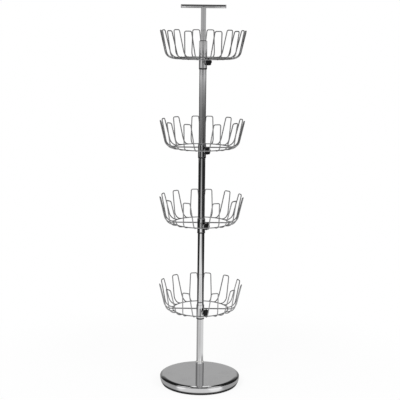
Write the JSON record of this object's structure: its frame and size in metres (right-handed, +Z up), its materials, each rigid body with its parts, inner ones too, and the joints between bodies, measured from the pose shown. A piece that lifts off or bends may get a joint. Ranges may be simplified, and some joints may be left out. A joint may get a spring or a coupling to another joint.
{
  "type": "rotating shoe tower",
  "caption": "Free-standing rotating shoe tower: a weighted round base, a turning chrome pole with a T handle, and wire baskets of shoe loops that slide, turn and clamp.",
  "frame": {"origin": "centre of the base's underside, on the pole's axis", "axes": "+Z up along the pole; +X along the handle bar; the wide gap in each basket's loops faces -Y, the front"},
  "size_m": [0.2672, 0.2633, 1.218],
  "materials": {
    "chrome_plate": "bright chrome plating on a pressed steel cover, mirror smooth",
    "chrome_tube": "bright chrome plating on drawn steel tube",
    "chrome_wire": "bright chrome plating on bent steel wire",
    "cast_iron": "rough cast iron, hidden in the base",
    "black_rubber": "matt black rubber",
    "zinc_steel": "zinc plated steel",
    "natural_nylon": "natural nylon",
    "black_plastic": "moulded black plastic with a soft sheen"
  },
  "bodies": {
    "base": {"base_cover": "chrome_plate", "base_weight": "cast_iron", "base_pad": "black_rubber", "base_socket": "chrome_tube", "socket_bolt": "zinc_steel", "bolt_washer": "zinc_steel", "socket_bush": "natural_nylon", "thrust_washer": "natural_nylon"},
    "pole": {"pole_foot_plug": "natural_nylon", "bottom_pole_tube": "chrome_tube", "lower_pole_tube": "chrome_tube", "upper_pole_tube": "chrome_tube", "top_pole_tube": "chrome_tube", "tube_couplers": "zinc_steel", "top_ferrule": "chrome_tube", "reducer_bush": "black_plastic", "handle_riser": "chrome_tube", "handle_bar": "chrome_tube", "handle_bar_caps": "chrome_tube"},
    "bottom_stop": {"bottom_stop_ring": "black_plastic"},
    "bottom_basket": {"bottom_hub": "chrome_tube", "bottom_clamp_boss": "chrome_tube", "bottom_wire_ring": "chrome_wire", "bottom_spokes": "chrome_wire", "bottom_loops": "chrome_wire"},
    "bottom_clamp": {"bottom_knob": "black_plastic", "bottom_knob_stud": "zinc_steel"},
    "lower_stop": {"lower_stop_ring": "black_plastic"},
    "lower_basket": {"lower_hub": "chrome_tube", "lower_clamp_boss": "chrome_tube", "lower_wire_ring": "chrome_wire", "lower_spokes": "chrome_wire", "lower_loops": "chrome_wire"},
    "lower_clamp": {"lower_knob": "black_plastic", "lower_knob_stud": "zinc_steel"},
    "upper_stop": {"upper_stop_ring": "black_plastic"},
    "upper_basket": {"upper_hub": "chrome_tube", "upper_clamp_boss": "chrome_tube", "upper_wire_ring": "chrome_wire", "upper_spokes": "chrome_wire", "upper_loops": "chrome_wire"},
    "upper_clamp": {"upper_knob": "black_plastic", "upper_knob_stud": "zinc_steel"},
    "top_stop": {"top_stop_ring": "black_plastic"},
    "top_basket": {"top_hub": "chrome_tube", "top_clamp_boss": "chrome_tube", "top_wire_ring": "chrome_wire", "top_spokes": "chrome_wire", "top_loops": "chrome_wire"},
    "top_clamp": {"top_knob": "black_plastic", "top_knob_stud": "zinc_steel"}
  },
  "joints": [
    {"name": "pole_spin", "type": "hinge", "parent": "base", "child": "pole", "pos_m": [0, 0, 0.0385], "axis": [0, 0, 1], "continuous": true},
    {"name": "bottom_height", "type": "slide", "parent": "pole", "child": "bottom_stop", "axis": [0, 0, 1], "range_m": [-0.14, 0.23]},
    {"name": "bottom_turn", "type": "hinge", "parent": "bottom_stop", "child": "bottom_basket", "pos_m": [0, 0, 0.249], "axis": [0, 0, 1], "continuous": true},
    {"name": "bottom_knob_turn", "type": "hinge", "parent": "bottom_basket", "child": "bottom_clamp", "pos_m": [0.01532, -0.01286, 0.239], "axis": [0.766, -0.6428, 0], "range_deg": [0, 540]},
    {"name": "lower_height", "type": "slide", "parent": "pole", "child": "lower_stop", "axis": [0, 0, 1], "range_m": [-0.235, 0.19]},
    {"name": "lower_turn", "type": "hinge", "parent": "lower_stop", "child": "lower_basket", "pos_m": [0, 0, 0.534], "axis": [0, 0, 1], "continuous": true},
    {"name": "lower_knob_turn", "type": "hinge", "parent": "lower_basket", "child": "lower_clamp", "pos_m": [0.01532, -0.01286, 0.524], "axis": [0.766, -0.6428, 0], "range_deg": [0, 540]},
    {"name": "upper_height", "type": "slide", "parent": "pole", "child": "upper_stop", "axis": [0, 0, 1], "range_m": [-0.19, 0.23]},
    {"name": "upper_turn", "type": "hinge", "parent": "upper_stop", "child": "upper_basket", "pos_m": [0, 0, 0.776], "axis": [0, 0, 1], "continuous": true},
    {"name": "upper_knob_turn", "type": "hinge", "parent": "upper_basket", "child": "upper_clamp", "pos_m": [0.01532, -0.01286, 0.766], "axis": [0.766, -0.6428, 0], "range_deg": [0, 540]},
    {"name": "top_height", "type": "slide", "parent": "pole", "child": "top_stop", "axis": [0, 0, 1], "range_m": [-0.23, 0]},
    {"name": "top_turn", "type": "hinge", "parent": "top_stop", "child": "top_basket", "pos_m": [0, 0, 1.054], "axis": [0, 0, 1], "continuous": true},
    {"name": "top_knob_turn", "type": "hinge", "parent": "top_basket", "child": "top_clamp", "pos_m": [0.01532, -0.01286, 1.044], "axis": [0.766, -0.6428, 0], "range_deg": [0, 540]}
  ]
}
